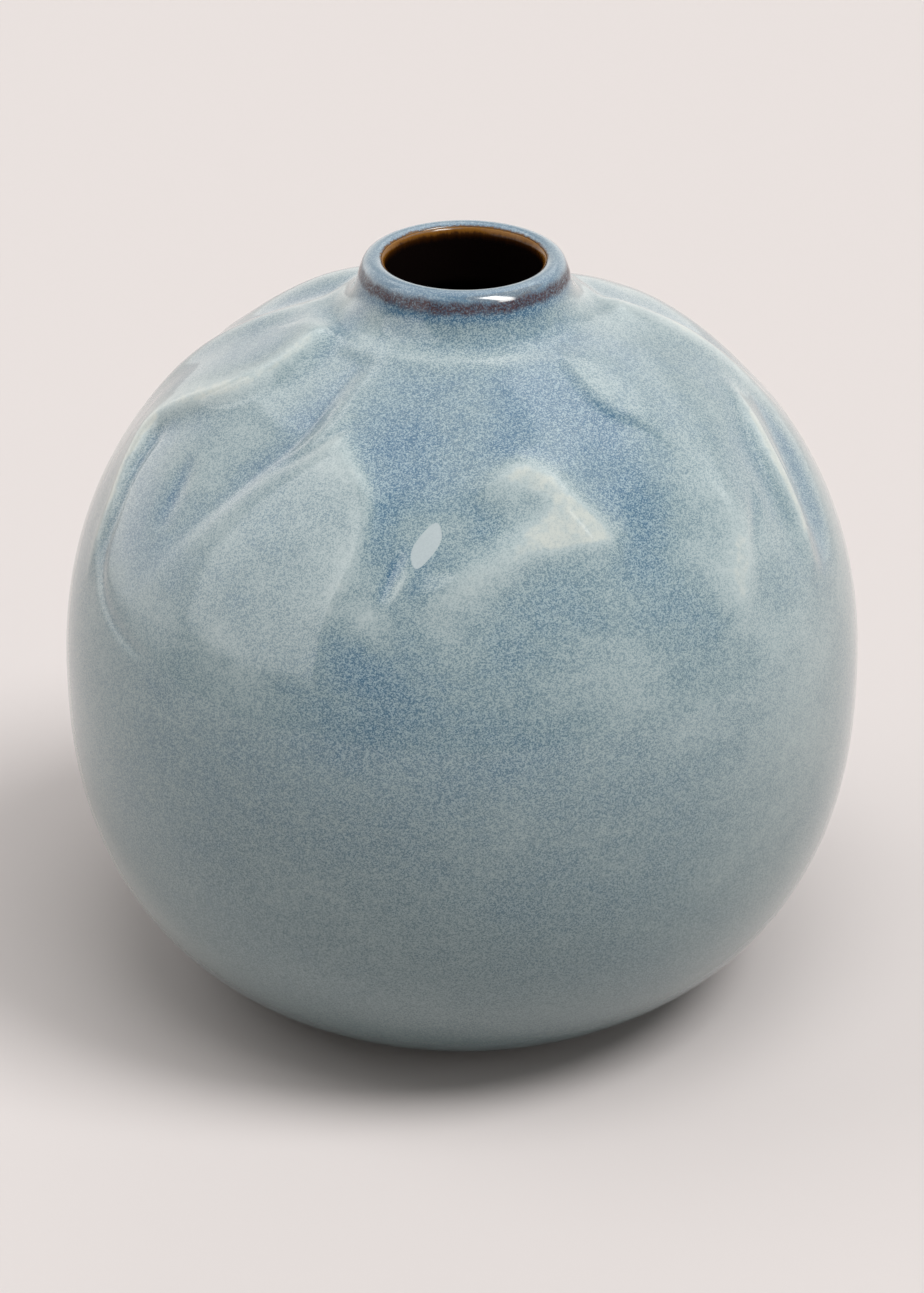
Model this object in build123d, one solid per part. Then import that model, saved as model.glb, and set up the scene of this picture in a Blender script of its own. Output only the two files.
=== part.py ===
"""Round stoneware bud vase: a folded ball on a bare foot ring, with a short neck and a rolled lip.

Millimetres, +Z up. The origin is the middle of the circle that the foot stands on, and -Y is the front.
Azimuth is in degrees from the front towards +X, and latitude is in degrees above the ball's middle.
Every surface is a set of closed rings. Neighbouring pieces are made from the same rings, so they meet
face to face with no gap and no overlap.
"""
from build123d import *
from math import asin, cos, degrees, exp, hypot, radians, sin
import os

# the ball: a superellipse turned about Z, flatter below its middle than above
BALL_RADIUS = 79.9
BALL_MIDDLE_Z = 68.5
BALL_RISE = 79.0
BALL_DROP = 75.05
RISE_POWER = 2.12
DROP_POWER = 2.46

# the coat of glaze on each side of the clay, and the clay between them
GLAZE_COAT = 0.65
CLAY_WALL = 4.1

# neck and rolled lip, whose axis stands a little to the right of the ball's
NECK_SHIFT_X = 0.4
NECK_LATITUDE = 71.4
LIP_RING_RADIUS = 17.67
LIP_RING_Z = 152.4
LIP_ROLL = 2.38
NECK_LINE = [(23.9, 145.0), (22.6, 146.2), (21.6, 147.9), (21.0, 149.6), (20.6, 151.2), (20.2, 152.4)]
LIP_START_ANGLE = 25.0
LIP_STEPS = 4
THROAT_FOOT_Z = 143.4
THROAT_PULL = 2.5
CEILING_LATITUDE = 74.0

# underside: the glaze tucks in to a line, and the bare foot ring goes on from there
TUCK_LATITUDE = -49.75
GLAZE_LINE_RADIUS = 39.6
GLAZE_LINE_Z = 2.6
TUCK_PULL = 4.5
FOOT_OUTSIDE = [(38.7, 0.9), (37.8, 0.0)]
FOOT_INSIDE = [(32.4, 0.0), (31.5, 0.9), (30.9, 2.1)]
FLOOR_RADIUS = 30.0
FLOOR_Z = 7.0
FLOOR_LATITUDE = -45.0
FLOOR_PULL = 9.0

# how finely the rings follow the folds
RING_POINTS = 72
SMOOTH_STEPS = 7
FOLDS_START = 20.0
FOLD_STEP = 3.0
FOLD_GRAIN = 4.5
FADE_START_LATITUDE = 64.0
BLEND_LATITUDE = 40.0

# folds pressed into the shoulder: height (a ridge above 0, a hollow below), the width towards lower
# azimuth, the width towards higher azimuth, then (azimuth, latitude, share of the height) from the top
FOLDS = [
    # left crest: steep towards the front, gentle behind
    (2.0, 11.0, 3.0, [(-84, 74, 0.3), (-70, 70, 1.0), (-65, 65, 1.0), (-64, 60, 1.0), (-68, 54, 1.0),
                      (-76, 48, 1.0), (-81, 42, 1.0), (-79, 37, 0.8), (-76, 31, 0.5), (-75, 23, 0.2),
                      (-74, 18, 0.0)]),
    # the groove between the left panel and the plate
    (-2.3, 14.0, 4.0, [(-44, 71, 0.2), (-43, 65, 0.7), (-42, 58, 1.0), (-42, 53, 1.0), (-47, 46, 1.0),
                       (-52, 38, 0.7), (-58, 29, 0.2), (-60, 22, 0.0)]),
    # behind the left crest: a shoulder, a groove, then a hump
    (0.9, 9.0, 5.0, [(-99, 66, 0.3), (-101, 60, 1.0), (-103, 52, 1.0), (-102, 44, 0.5), (-101, 36, 0.0)]),
    (-2.2, 9.0, 6.0, [(-122, 73, 0.8), (-118, 67, 1.0), (-113, 60, 1.0), (-111, 52, 0.5), (-110, 44, 0.0)]),
    (0.7, 7.0, 6.0, [(-142, 68, 0.0), (-134, 62, 1.0), (-129, 56, 0.6), (-126, 50, 0.0)]),
    # plate edge
    (1.0, 10.0, 2.6, [(-31, 58, 0.2), (-29, 54, 0.9), (-23, 50.5, 1.0), (-19, 47, 1.0), (-18, 42, 1.0),
                      (-19, 37, 0.9), (-21, 31, 0.7), (-22, 24, 0.3), (-23, 18, 0.0)]),
    # front hollow, left of the middle
    (-1.5, 12.0, 12.0, [(-14, 71, 0.3), (-14, 63, 1.0), (-9, 54, 1.0), (-9, 45, 0.6), (-12, 34, 0.0)]),
    # front bump: a cap with an arm down to the right, and a low ridge down to the left
    (1.3, 6.0, 3.4, [(3, 46, 0.0), (7, 49.5, 0.7), (13, 51.5, 1.0), (18, 49.5, 1.0), (21, 46, 0.9),
                     (26, 41, 0.5), (30, 37.5, 0.0)]),
    (0.9, 3.5, 5.0, [(20, 46, 0.3), (14, 42, 0.9), (7, 39.5, 1.0), (0, 36.5, 0.9), (-6, 32, 0.0)]),
    # hollow on the bump's right
    (-1.1, 8.0, 8.0, [(31, 64, 0.3), (33, 56, 0.9), (35, 48, 1.0), (34, 41, 1.0), (33, 34, 0.5), (36, 28, 0.0)]),
    # right front crest: steep on its left, gentle on its right
    (0.75, 2.4, 13.0, [(46, 73.5, 0.3), (41, 68, 1.0), (40, 63, 1.0), (42, 58.5, 0.9), (47, 55, 0.7),
                      (49.5, 50, 0.3), (50, 44, 0.0)]),
    (0.8, 6.0, 4.0, [(56, 47, 0.0), (55, 42, 0.8), (52, 34, 1.0), (47, 27, 0.6), (43, 20, 0.0)]),
    # right pinch
    (-0.9, 5.0, 5.0, [(72, 48, 0.0), (68, 42, 0.8), (65, 34, 0.8), (62, 26, 0.0)]),
    (1.2, 2.8, 2.4, [(84, 52, 0.0), (79, 46, 0.6), (74, 41, 1.0), (71, 35, 1.0), (69, 29, 0.7), (67, 22, 0.0)]),
    (-1.9, 3.4, 6.0, [(90, 47, 0.0), (85, 41, 0.7), (80, 35, 1.0), (75, 28, 0.8), (71, 21, 0.0)]),
    # right crest, and the groove and hump behind it
    (1.2, 8.0, 3.5, [(104, 74, 0.3), (98, 70, 1.0), (97, 63, 1.0), (96, 55, 1.0), (94, 46, 0.6), (94, 37, 0.0)]),
    (-1.7, 4.5, 9.0, [(119, 73, 0.9), (113, 67, 1.0), (109, 58, 0.9), (105, 48, 0.5), (101, 38, 0.0)]),
    (0.4, 7.0, 7.0, [(128, 60, 0.0), (126, 55, 1.0), (121, 49, 1.0), (114, 40, 0.0)]),
    # back
    (-2.0, 9.0, 9.0, [(150, 71, 0.5), (153, 62, 1.0), (151, 52, 0.8), (149, 41, 0.0)]),
    (1.2, 4.0, 8.0, [(163, 69, 0.0), (167, 63, 1.0), (171, 56, 0.9), (174, 48, 0.5), (174, 40, 0.0)]),
    (-2.0, 10.0, 10.0, [(-172, 70, 0.2), (-170, 61, 1.0), (-168, 50, 0.8), (-166, 38, 0.0)]),
    (1.3, 4.0, 4.0, [(-159, 39, 0.1), (-156, 47, 0.9), (-150, 52, 1.0), (-146, 46, 0.8), (-142, 38, 0.0)]),
    (-1.4, 6.0, 6.0, [(-116, 48, 0.1), (-114, 42, 1.0), (-114, 35, 0.0)]),
]


def smooth(value, start, end):
    """0 before start, 1 after end, and an S-curve between."""
    share = min(max((value - start) / (end - start), 0.0), 1.0)
    return share * share * (3.0 - 2.0 * share)


def ball_reach(latitude):
    """Distance from the ball's middle to its outside, before any fold."""
    rise, power = (BALL_RISE, RISE_POWER) if latitude >= 0 else (BALL_DROP, DROP_POWER)
    across = cos(radians(latitude)) / BALL_RADIUS
    up = abs(sin(radians(latitude))) / rise
    return (across**power + up**power) ** (-1.0 / power)


def fold_at(fold, azimuth, latitude):
    """Height that one fold gives at a place on the ball."""
    height, lower_width, higher_width, line = fold
    scale = radians(1.0) * BALL_RADIUS
    best = None
    for (az_a, lat_a, share_a), (az_b, lat_b, share_b) in zip(line, line[1:]):
        squeeze = cos(radians(latitude))
        turn = (azimuth - az_a + 180.0) % 360.0 - 180.0
        px, py = turn * squeeze * scale, (latitude - lat_a) * scale
        dx, dy = (az_b - az_a) * squeeze * scale, (lat_b - lat_a) * scale
        along = min(max((px * dx + py * dy) / (dx * dx + dy * dy), 0.0), 1.0)
        gap = hypot(px - along * dx, py - along * dy)
        if best is None or gap < best[0]:
            side = dx * py - dy * px
            best = (gap, side, share_a + along * (share_b - share_a))
    gap, side, share = best
    width = higher_width if side > 0 else lower_width
    soft_width = hypot(width, FOLD_GRAIN)
    return height * share * (width / soft_width) * exp(-((gap / soft_width) ** 2))


def fold_height(azimuth, latitude):
    """All the folds together, fading out where the neck begins."""
    fade = 1.0 - smooth(latitude, FADE_START_LATITUDE, NECK_LATITUDE)
    if fade <= 0.0:
        return 0.0
    return fade * sum(fold_at(fold, azimuth, latitude) for fold in FOLDS)


def circle(radius, z):
    """A true circle about the neck's axis, starting at the front."""
    place = Plane(origin=(NECK_SHIFT_X, 0.0, z), x_dir=(0.0, -1.0, 0.0), z_dir=(0.0, 0.0, 1.0))
    return Wire(Edge.make_circle(radius, place))


def even_ring(places):
    """A closed curve through evenly timed places, so that neighbouring rings match point for point."""
    times = [step / RING_POINTS for step in range(RING_POINTS + 1)]
    return Wire(Edge.make_spline(places, periodic=True, parameters=times))


def ring(radius, z, shift=0.0):
    """A level ring, starting at the front."""
    turns = [radians(360.0 * step / RING_POINTS) for step in range(RING_POINTS)]
    return even_ring([Vector(shift + radius * sin(turn), -radius * cos(turn), z) for turn in turns])


def ball_ring(latitude, inset):
    """A ring round the ball at one latitude, following the folds, inset from the pot's outside."""
    places = []
    shift = NECK_SHIFT_X * smooth(latitude, BLEND_LATITUDE, NECK_LATITUDE)
    for step in range(RING_POINTS):
        azimuth = 360.0 * step / RING_POINTS
        reach = ball_reach(latitude) - inset + fold_height(azimuth, latitude)
        across = reach * cos(radians(latitude))
        x = shift + across * sin(radians(azimuth))
        y = -across * cos(radians(azimuth))
        places.append(Vector(x, y, BALL_MIDDLE_Z + reach * sin(radians(latitude))))
    return even_ring(places)


def ball_place(latitude, inset):
    """Radius and height of the plain ball at one latitude."""
    reach = ball_reach(latitude) - inset
    return reach * cos(radians(latitude)), BALL_MIDDLE_Z + reach * sin(radians(latitude))


def blend(start, start_pull, end, end_pull):
    """Three places on a smooth curve that leaves start and reaches end in line with their pulls."""
    controls = [start, (start[0] + start_pull[0], start[1] + start_pull[1])]
    controls += [(end[0] + end_pull[0], end[1] + end_pull[1]), end]
    places = []
    for share in (0.25, 0.5, 0.75):
        rest = 1.0 - share
        weights = (rest**3, 3.0 * share * rest**2, 3.0 * share**2 * rest, share**3)
        places.append(tuple(sum(w * c[k] for w, c in zip(weights, controls)) for k in (0, 1)))
    return places


def ball_slope(latitude, inset, pull):
    """A step of length pull along the ball's side at one latitude, away from the equator."""
    away = 1.0 if latitude > 0 else -1.0
    here = ball_place(latitude, inset)
    beyond = ball_place(latitude + away, inset)
    length = hypot(beyond[0] - here[0], beyond[1] - here[1])
    return pull * (beyond[0] - here[0]) / length, pull * (beyond[1] - here[1]) / length


def latitudes(first, last):
    """Ring latitudes from first up to last: wide steps low down, then close ones over the folds."""
    smooth_part = [first + (FOLDS_START - first) * k / SMOOTH_STEPS for k in range(SMOOTH_STEPS)]
    count = round((last - FOLDS_START) / FOLD_STEP)
    return smooth_part + [FOLDS_START + (last - FOLDS_START) * k / count for k in range(count + 1)]


def lip_place(angle, roll):
    """A place on the rolled lip: 0 is its outer side, 90 its crest and 180 its inner side."""
    return LIP_RING_RADIUS + roll * cos(radians(angle)), LIP_RING_Z + roll * sin(radians(angle))


def lip_rings(first, last, roll):
    """Rings round the lip from one angle to another."""
    angles = [first + (last - first) * k / LIP_STEPS for k in range(LIP_STEPS + 1)]
    return [circle(*lip_place(angle, roll)) for angle in angles]


def neck_rings(inset):
    """Rings up the outside of the neck, inset square to its line."""
    line = [ball_place(NECK_LATITUDE, 0.0)] + NECK_LINE + [lip_place(LIP_START_ANGLE, LIP_ROLL)]
    rings = []
    for before, here, after in zip(line, line[1:], line[2:]):
        along = (after[0] - before[0], after[1] - before[1])
        length = hypot(*along)
        radius = here[0] - inset * along[1] / length
        rings.append(circle(radius, here[1] + inset * along[0] / length))
    return rings


def outside(inset, start):
    """Rings up the pot's outside: the ball from the glaze line, then the neck up to the lip's crest."""
    tuck_end = ball_place(TUCK_LATITUDE, inset)
    tuck = blend(start, (TUCK_PULL, 0.0), tuck_end, ball_slope(TUCK_LATITUDE, inset, TUCK_PULL))
    ball = [ring(*place) for place in [start] + tuck]
    ball += [ball_ring(latitude, inset) for latitude in latitudes(TUCK_LATITUDE, NECK_LATITUDE)]
    neck = neck_rings(inset) + lip_rings(LIP_START_ANGLE, 90.0, LIP_ROLL - inset)
    return ball, [ball[-1]] + neck


def cavity(inset, throat_radius, floor_z):
    """Rings down the pot's inside: the shoulder below the throat, then the room down to the floor."""
    ceiling = ball_place(CEILING_LATITUDE, inset)
    ceiling_slope = ball_slope(CEILING_LATITUDE, inset, THROAT_PULL)
    shoulder = blend((throat_radius, THROAT_FOOT_Z), (0.0, -THROAT_PULL), ceiling, ceiling_slope)
    side = ball_place(FLOOR_LATITUDE, inset)
    side_slope = ball_slope(FLOOR_LATITUDE, inset, FLOOR_PULL)
    floor = blend((FLOOR_RADIUS, floor_z), (FLOOR_PULL, 0.0), side, side_slope)
    room = [ball_ring(lat, inset) for lat in reversed(latitudes(FLOOR_LATITUDE, CEILING_LATITUDE))]
    room += [ring(*place) for place in reversed(floor)] + [ring(FLOOR_RADIUS, floor_z)]
    top = [circle(throat_radius, THROAT_FOOT_Z)] + [circle(*place) for place in shoulder] + [room[0]]
    return top, room


def skin(rings, straight=False):
    """The surface through a run of rings."""
    return list(Shell.make_loft(rings, ruled=straight).faces())


def throat(radius):
    """The true cylinder inside the neck."""
    return skin([circle(radius, THROAT_FOOT_Z), circle(radius, LIP_RING_Z)], True)


# the clay's roll inside the glaze at the lip, and where the two glazes meet: level with the clay's crest
clay_roll = LIP_ROLL - GLAZE_COAT
seam_angle = 180.0 - degrees(asin(clay_roll / LIP_ROLL))
clay_inset = GLAZE_COAT + CLAY_WALL
liner_inset = clay_inset + GLAZE_COAT

# rings
clay_ball, clay_neck = outside(GLAZE_COAT, (GLAZE_LINE_RADIUS, GLAZE_LINE_Z + GLAZE_COAT))
clay_lip = lip_rings(90.0, 180.0, clay_roll)
clay_shoulder, clay_room = cavity(clay_inset, LIP_RING_RADIUS - clay_roll, FLOOR_Z)
glaze_ball, glaze_neck = outside(0.0, (GLAZE_LINE_RADIUS, GLAZE_LINE_Z))
glaze_lip = lip_rings(90.0, seam_angle, LIP_ROLL)
liner_lip = lip_rings(seam_angle, 180.0, LIP_ROLL)
liner_shoulder, liner_room = cavity(liner_inset, LIP_RING_RADIUS - LIP_ROLL, FLOOR_Z + GLAZE_COAT)

# surfaces that two pieces share
clay_outside = skin(clay_ball) + skin(clay_neck)
clay_inside = skin(clay_lip) + throat(LIP_RING_RADIUS - clay_roll) + skin(clay_shoulder)
clay_inside += skin(clay_room) + [Face(clay_room[-1])]
glaze_seam = [Face(clay_lip[0], [glaze_lip[-1]])]

foot = skin([clay_ball[0]] + [ring(*place) for place in FOOT_OUTSIDE], True)
foot += skin([ring(*place) for place in FOOT_INSIDE], True)
foot += [Face(ring(*FOOT_OUTSIDE[-1]), [ring(*FOOT_INSIDE[0])]), Face(ring(*FOOT_INSIDE[-1]))]
stoneware_body = Solid(Shell(clay_outside + clay_inside + foot))

glaze_line = skin([glaze_ball[0], clay_ball[0]], True)
glaze_outside = skin(glaze_ball) + skin(glaze_neck) + skin(glaze_lip)
outer_glaze = Solid(Shell(glaze_outside + glaze_seam + glaze_line + clay_outside))

liner_inside = skin(liner_lip) + throat(LIP_RING_RADIUS - LIP_ROLL) + skin(liner_shoulder)
liner_inside += skin(liner_room) + [Face(liner_room[-1])]
liner_glaze = Solid(Shell(liner_inside + glaze_seam + clay_inside))

pieces = {"stoneware_body": stoneware_body, "outer_glaze": outer_glaze, "liner_glaze": liner_glaze}
os.makedirs("parts", exist_ok=True)
for name, piece in pieces.items():
    export_step(piece, f"parts/{name}.step")
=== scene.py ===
"""Looks of the round folded bud vase: finer clay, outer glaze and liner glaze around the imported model.

Shapes are worked out in millimetres, like the CAD, and scaled to metres when each mesh is made.
Azimuth is in degrees from the front (-Y) towards +X. Latitude is in degrees above the ball's middle.
"""

import math

import bpy
import numpy as np
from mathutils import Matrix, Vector


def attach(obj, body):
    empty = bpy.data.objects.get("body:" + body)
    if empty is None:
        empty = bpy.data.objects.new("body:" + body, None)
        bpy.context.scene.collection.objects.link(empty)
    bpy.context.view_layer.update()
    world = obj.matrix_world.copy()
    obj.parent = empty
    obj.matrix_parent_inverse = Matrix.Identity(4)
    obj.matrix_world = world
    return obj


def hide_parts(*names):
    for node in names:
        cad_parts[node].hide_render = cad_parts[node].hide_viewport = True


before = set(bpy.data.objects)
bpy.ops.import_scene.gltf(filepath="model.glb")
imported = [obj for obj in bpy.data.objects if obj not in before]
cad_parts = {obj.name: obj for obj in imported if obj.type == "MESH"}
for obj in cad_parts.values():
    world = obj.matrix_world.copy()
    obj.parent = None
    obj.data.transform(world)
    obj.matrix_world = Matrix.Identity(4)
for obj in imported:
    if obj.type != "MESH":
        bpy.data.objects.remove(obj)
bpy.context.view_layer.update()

MM = 0.001

# the ball, as in the CAD: a superellipse turned about Z
BALL_RADIUS = 79.9
BALL_MIDDLE_Z = 68.5
BALL_RISE, RISE_POWER = 79.0, 2.12
BALL_DROP, DROP_POWER = 75.05, 2.46

# coats and wall
GLAZE_COAT = 0.65
CLAY_WALL = 4.1
CLAY_GAP = 0.9  # how far inside the glaze's face the clay starts, so that no crease reaches it

# neck and rolled lip
NECK_SHIFT_X = 0.4
NECK_LATITUDE = 71.4
LIP_RING_RADIUS, LIP_RING_Z = 17.67, 152.4
LIP_ROLL = 2.38
LIP_START_ANGLE = 25.0
SEAM_ANGLE = 133.4
NECK_LINE = [(23.9, 145.0), (22.6, 146.2), (21.6, 147.9), (21.0, 149.6), (20.6, 151.2), (20.2, 152.4)]
THROAT_TOP_DROP = 0.6
THROAT_FOOT_Z = 143.4
THROAT_PULL = 2.5
CEILING_LATITUDE = 74.0

# underside
TUCK_LATITUDE = -49.75
TUCK_PULL = 4.5
GLAZE_LINE_RADIUS, GLAZE_LINE_Z = 39.6, 2.6
GLAZE_EDGE_REACH = 0.4
FOOT_LINE = [(39.3, 3.25), (38.9, 1.6), (38.5, 0.75), (38.1, 0.25), (37.6, 0.0), (32.6, 0.0), (32.2, 0.2),
             (31.9, 0.6), (31.5, 1.5), (31.1, 1.95), (30.6, 2.1)]
FLOOR_RADIUS, FLOOR_Z = 30.0, 7.0
FLOOR_LATITUDE = -45.0
FLOOR_PULL = 9.0

# latitudes where the folds begin, where they fade out below the neck, and where the neck's shift begins
FOLDS_START = 14.0
FADE_START_LATITUDE = 67.0
BLEND_LATITUDE = 40.0

# mesh fineness: points round a ring, cuts between the places of a line, and degrees between rings
AROUND = 384
LINE_CUTS = 4
COARSE_STEP = 3.0  # below the folds
FINE_STEP = 0.6  # over the folds, on the glaze seen from outside
PLAIN_STEP = 3.0  # over the folds, on its back, on the clay's outside and on the liner's face
HIDDEN_STEP = 6.0  # where the liner lies on the clay
TUCK_RINGS, THROAT_RINGS, CEILING_RINGS, FLOOR_BEND_RINGS = 7, 12, 6, 6
GLAZE_LIP_RINGS, CLAY_LIP_RINGS, LINER_LIP_RINGS, HIDDEN_LIP_RINGS = 16, 14, 10, 6
FLOOR_RINGS = (20.0, 10.0, 0.5)

# values that each ring carries: its points, the folds' height, the angle round the lip and the glaze's tone
RING_VALUES = ("rows", "fold", "lip", "tone")
FAR_OUTSIDE, DEEP_INSIDE = -200.0, 400.0  # lip angles of places that are nowhere near the lip
LIP_ANGLE_PER_MM = 24.0  # how fast the lip angle grows down the throat

# folds: height, width towards lower azimuth, width towards higher azimuth (mm), then the fold's line as
# (azimuth, latitude, share of the height), from the neck downwards
FOLDS = [
    # left crest: steep towards the front, gentle behind
    (2.0, 11.0, 3.0, [(-84, 74, 0.3), (-70, 70, 1.0), (-65, 65, 1.0), (-64, 60, 1.0), (-68, 54, 1.0),
                      (-76, 48, 1.0), (-81, 42, 1.0), (-79, 37, 0.8), (-76, 31, 0.5), (-75, 23, 0.2),
                      (-74, 18, 0.0)]),
    # the groove between the left panel and the plate
    (-2.3, 14.0, 4.0, [(-44, 71, 0.2), (-43, 65, 0.7), (-42, 58, 1.0), (-42, 53, 1.0), (-47, 46, 1.0),
                       (-52, 38, 0.7), (-58, 29, 0.2), (-60, 22, 0.0)]),
    # behind the left crest: a shoulder, a groove, then a hump
    (0.9, 9.0, 5.0, [(-99, 66, 0.3), (-101, 60, 1.0), (-103, 52, 1.0), (-102, 44, 0.5), (-101, 36, 0.0)]),
    (-2.2, 9.0, 6.0, [(-122, 73, 0.8), (-118, 67, 1.0), (-113, 60, 1.0), (-111, 52, 0.5), (-110, 44, 0.0)]),
    (0.7, 7.0, 6.0, [(-142, 68, 0.0), (-134, 62, 1.0), (-129, 56, 0.6), (-126, 50, 0.0)]),
    # plate edge
    (1.0, 10.0, 2.6, [(-31, 58, 0.2), (-29, 54, 0.9), (-23, 50.5, 1.0), (-19, 47, 1.0), (-18, 42, 1.0),
                      (-19, 37, 0.9), (-21, 31, 0.7), (-22, 24, 0.3), (-23, 18, 0.0)]),
    # front hollow, left of the middle
    (-1.5, 12.0, 12.0, [(-14, 71, 0.3), (-14, 63, 1.0), (-9, 54, 1.0), (-9, 45, 0.6), (-12, 34, 0.0)]),
    # front bump: a cap with an arm down to the right, and a low ridge down to the left
    (1.3, 6.0, 3.4, [(3, 46, 0.0), (7, 49.5, 0.7), (13, 51.5, 1.0), (18, 49.5, 1.0), (21, 46, 0.9),
                     (26, 41, 0.5), (30, 37.5, 0.0)]),
    (0.9, 3.5, 5.0, [(20, 46, 0.3), (14, 42, 0.9), (7, 39.5, 1.0), (0, 36.5, 0.9), (-6, 32, 0.0)]),
    # hollow on the bump's right
    (-1.1, 8.0, 8.0, [(31, 64, 0.3), (33, 56, 0.9), (35, 48, 1.0), (34, 41, 1.0), (33, 34, 0.5),
                      (36, 28, 0.0)]),
    # right front crest: steep on its left, gentle on its right
    (0.75, 2.4, 13.0, [(46, 73.5, 0.3), (41, 68, 1.0), (40, 63, 1.0), (42, 58.5, 0.9), (47, 55, 0.7),
                      (49.5, 50, 0.3), (50, 44, 0.0)]),
    (0.8, 6.0, 4.0, [(56, 47, 0.0), (55, 42, 0.8), (52, 34, 1.0), (47, 27, 0.6), (43, 20, 0.0)]),
    # right pinch
    (-0.9, 5.0, 5.0, [(72, 48, 0.0), (68, 42, 0.8), (65, 34, 0.8), (62, 26, 0.0)]),
    (1.2, 2.8, 2.4, [(84, 52, 0.0), (79, 46, 0.6), (74, 41, 1.0), (71, 35, 1.0), (69, 29, 0.7),
                     (67, 22, 0.0)]),
    (-1.9, 3.4, 6.0, [(90, 47, 0.0), (85, 41, 0.7), (80, 35, 1.0), (75, 28, 0.8), (71, 21, 0.0)]),
    # right crest, and the groove and hump behind it
    (1.2, 8.0, 3.5, [(104, 74, 0.3), (98, 70, 1.0), (97, 63, 1.0), (96, 55, 1.0), (94, 46, 0.6),
                     (94, 37, 0.0)]),
    (-1.7, 4.5, 9.0, [(119, 73, 0.9), (113, 67, 1.0), (109, 58, 0.9), (105, 48, 0.5), (101, 38, 0.0)]),
    (0.4, 7.0, 7.0, [(128, 60, 0.0), (126, 55, 1.0), (121, 49, 1.0), (114, 40, 0.0)]),
    # back
    (-2.0, 9.0, 9.0, [(150, 71, 0.5), (153, 62, 1.0), (151, 52, 0.8), (149, 41, 0.0)]),
    (1.2, 4.0, 8.0, [(163, 69, 0.0), (167, 63, 1.0), (171, 56, 0.9), (174, 48, 0.5), (174, 40, 0.0)]),
    (-2.0, 10.0, 10.0, [(-172, 70, 0.2), (-170, 61, 1.0), (-168, 50, 0.8), (-166, 38, 0.0)]),
    (1.3, 4.0, 4.0, [(-159, 39, 0.1), (-156, 47, 0.9), (-150, 52, 1.0), (-146, 46, 0.8), (-142, 38, 0.0)]),
    (-1.4, 6.0, 6.0, [(-116, 48, 0.1), (-114, 42, 1.0), (-114, 35, 0.0)]),
]

# small creases that only the glaze shows
CREASES = [
    (0.5, 3.0, 1.1, [(-80, 73, 0.3), (-70, 69.5, 0.9), (-65, 65, 1.0), (-64, 60, 1.0), (-68, 54, 1.0),
                     (-76, 48, 1.0), (-81, 42.5, 1.0), (-79, 37, 1.0), (-76, 31, 0.9), (-75, 24, 0.6),
                     (-74, 18, 0.0)]),
    (-0.6, 1.2, 1.2, [(-77, 43, 0.3), (-76.5, 38, 1.0), (-73.5, 31, 1.0), (-71.5, 24, 1.0), (-66, 19.5, 0.6),
                      (-57, 17, 0.4), (-50, 16.5, 0.0)]),
    (0.3, 3.5, 1.1, [(-30, 56, 0.4), (-27, 52.5, 0.9), (-22.5, 50, 1.0), (-18.5, 46.5, 1.0), (-17.5, 42, 1.0),
                     (-18.5, 37, 0.9), (-20.5, 31, 0.7), (-22, 26, 0.0)]),
    (-0.6, 2.6, 2.2, [(-63, 44, 0.0), (-61.5, 40, 1.0), (-60.5, 36, 0.8), (-60, 32, 0.0)]),
    (-0.7, 1.2, 2.0, [(-29, 57.5, 0.6), (-33, 54, 1.0), (-38, 50, 1.0), (-43, 46.5, 0.0)]),
    (-0.6, 1.0, 0.8, [(-10.5, 40, 0.0), (-11.5, 37.5, 1.0), (-12.2, 35.5, 0.9), (-13, 32.5, 0.0)]),
    (0.3, 1.2, 1.4, [(-8.3, 38.5, 0.0), (-9.3, 36.5, 1.0), (-10.5, 34, 0.0)]),
    (-0.4, 1.6, 1.6, [(61, 40, 0.0), (60, 37, 1.0), (54, 32.5, 0.7), (52, 29, 0.0)]),
    (0.45, 2.2, 2.2, [(-35, 71.5, 0.5), (-20, 71, 1.0), (0, 71.2, 1.0), (20, 70.6, 1.0), (32, 69.5, 0.6)]),
    (0.22, 1.2, 4.0, [(44, 57, 0.0), (47, 54.5, 0.8), (49.5, 50, 1.0), (51, 44, 0.6), (51.5, 38, 0.0)]),
    (-0.14, 1.2, 1.4, [(41, 71, 0.4), (37, 67, 0.8), (36.5, 61, 1.0), (40, 56.5, 0.9), (45, 53, 0.7),
                       (48, 48, 0.0)]),
]

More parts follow.
